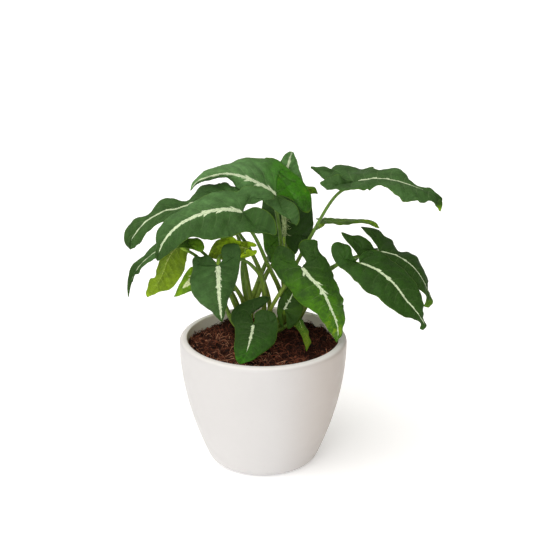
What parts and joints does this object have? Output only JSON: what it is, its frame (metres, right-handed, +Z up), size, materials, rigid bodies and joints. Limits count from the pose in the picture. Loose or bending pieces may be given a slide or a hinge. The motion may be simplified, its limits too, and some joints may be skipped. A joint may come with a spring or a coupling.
{
  "type": "potted arrowhead plant",
  "caption": "Potted arrowhead house plant: dark green arrow-shaped leaves with pale midribs on thin stalks, in soil in a tapered round off-white ceramic pot.",
  "frame": {"origin": "middle of the pot's flat foot, on the surface it stands on", "axes": "+Z up along the pot's axis, -Y to the front, +X to the right seen from the front"},
  "size_m": [0.2714, 0.1988, 0.283],
  "materials": {
    "ceramic": "matt off-white glaze",
    "soil": "dark loose potting soil",
    "stalk": "smooth light green leaf stalk",
    "leaf": "satin dark green leaf with a pale midrib",
    "young_leaf": "satin yellow-green young leaf"
  },
  "bodies": {
    "root": {"leaf_back_left": "leaf", "leaf_back_low_left": "leaf", "leaf_back_middle": "leaf", "leaf_back_right": "leaf", "leaf_behind_left": "young_leaf", "leaf_edge_right": "leaf", "leaf_front_left": "leaf", "leaf_front_low": "leaf", "leaf_front_middle_left": "leaf", "leaf_front_right": "leaf", "leaf_left": "leaf", "leaf_low_left": "leaf", "leaf_low_right": "leaf", "leaf_pale_left": "young_leaf", "leaf_right": "leaf", "leaf_right_back": "leaf", "leaf_right_far_back": "leaf", "leaf_small_left": "young_leaf", "leaf_small_right": "young_leaf", "leaf_tip_back": "leaf", "leaf_top_left": "leaf", "leaf_top_right": "leaf", "leaf_upright_back": "leaf", "pot": "ceramic", "shoot_back": "stalk", "shoot_far_right": "stalk", "shoot_left": "stalk", "shoot_middle": "stalk", "shoot_right": "stalk", "soil": "soil"}
  },
  "joints": []
}
